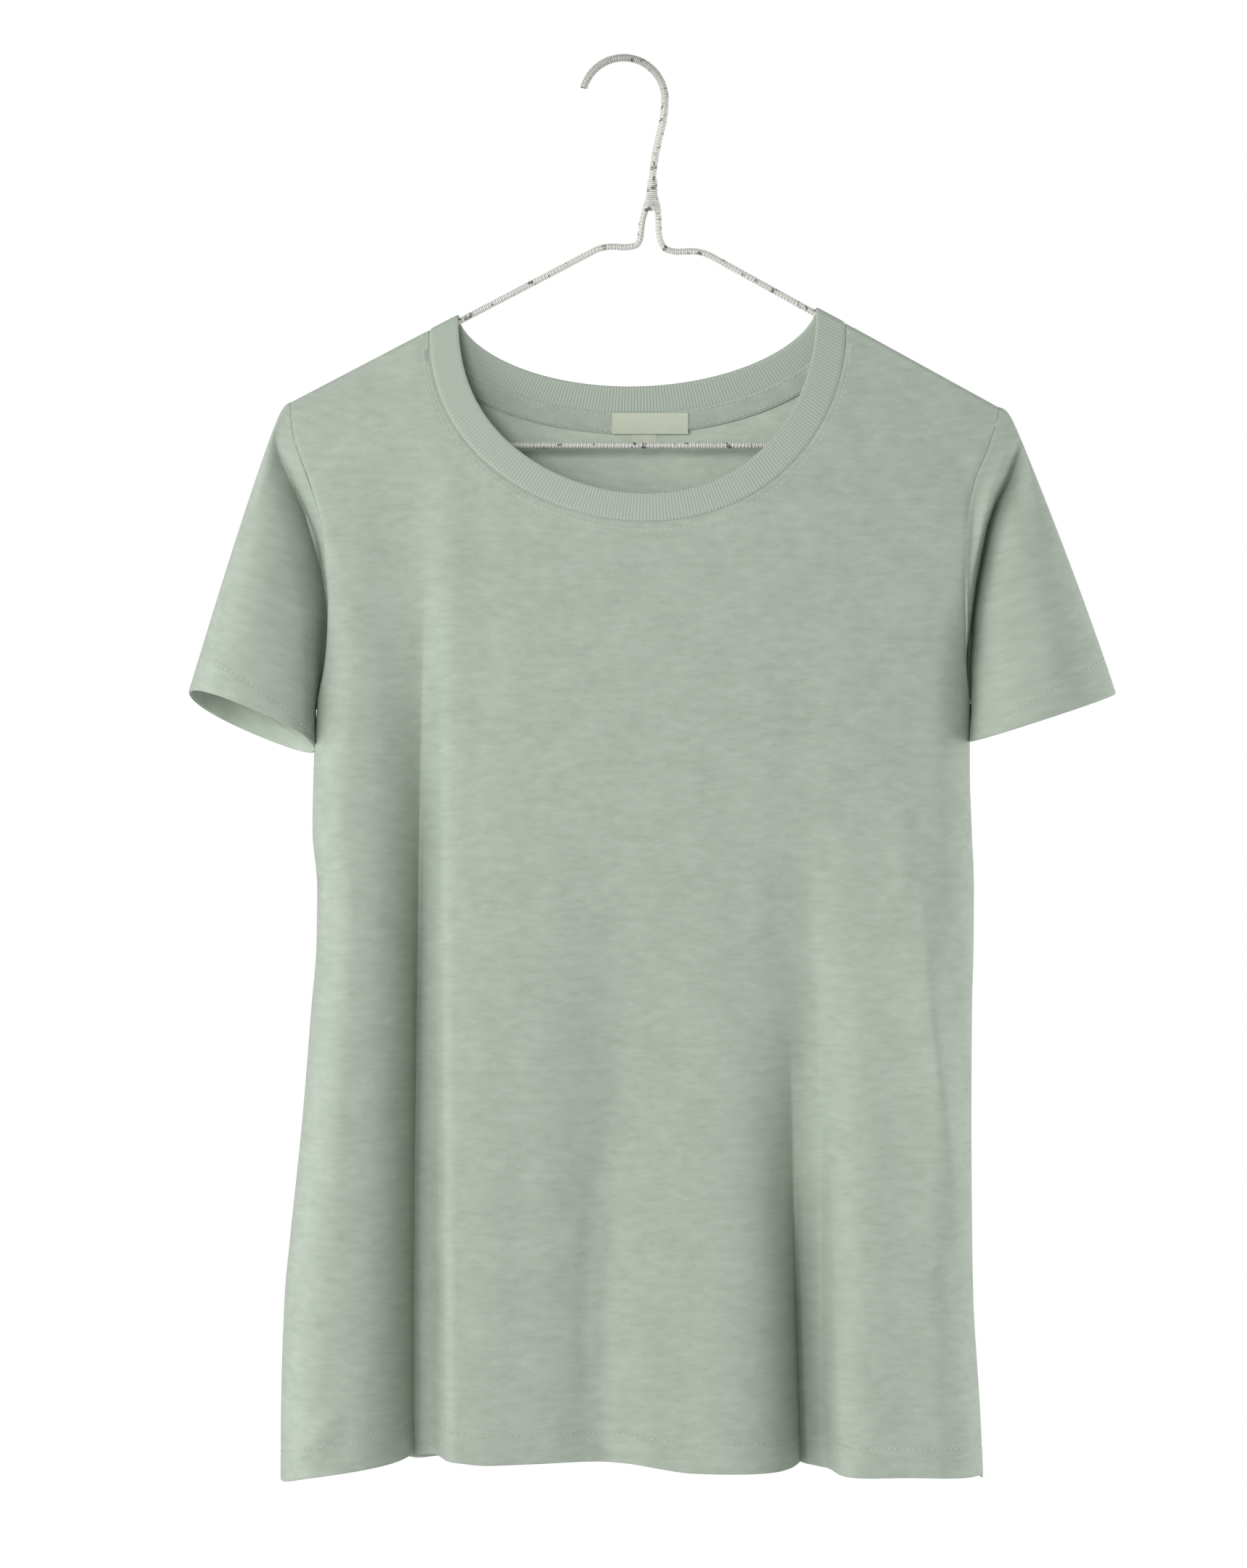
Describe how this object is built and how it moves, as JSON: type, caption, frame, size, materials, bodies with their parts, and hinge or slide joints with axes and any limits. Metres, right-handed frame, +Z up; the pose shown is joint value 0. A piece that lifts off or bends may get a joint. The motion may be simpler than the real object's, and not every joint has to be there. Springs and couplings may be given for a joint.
{
  "type": "crew neck t-shirt on a wire hanger",
  "caption": "Short-sleeved crew neck t-shirt in thin jersey with a rib collar, hanging on a wire hanger with a hook.",
  "frame": {"origin": "inside top of the hanger's hook, where a rail would touch it", "axes": "+Z up, the garment's front faces -Y, +X to the right as a viewer in front sees it"},
  "size_m": [0.5095, 0.0831, 0.7827],
  "materials": {
    "jersey": "thin slub jersey, pale sage green, matt",
    "rib": "fine 1x1 rib knit, pale sage green, matt",
    "tape": "jersey neck tape, pale sage green, matt",
    "label": "bare woven label, pale green grey, faint sheen",
    "wire": "cream wire wound with cream cord, speckled grey"
  },
  "bodies": {
    "root": {"front": "jersey", "back": "jersey", "sleeve_left": "jersey", "sleeve_right": "jersey", "collar": "rib", "neck_tape": "tape", "neck_label": "label", "size_tab": "label", "hanger_hook": "wire", "hanger_left_arm": "wire", "hanger_right_arm": "wire", "hanger_bar": "wire"}
  },
  "joints": []
}
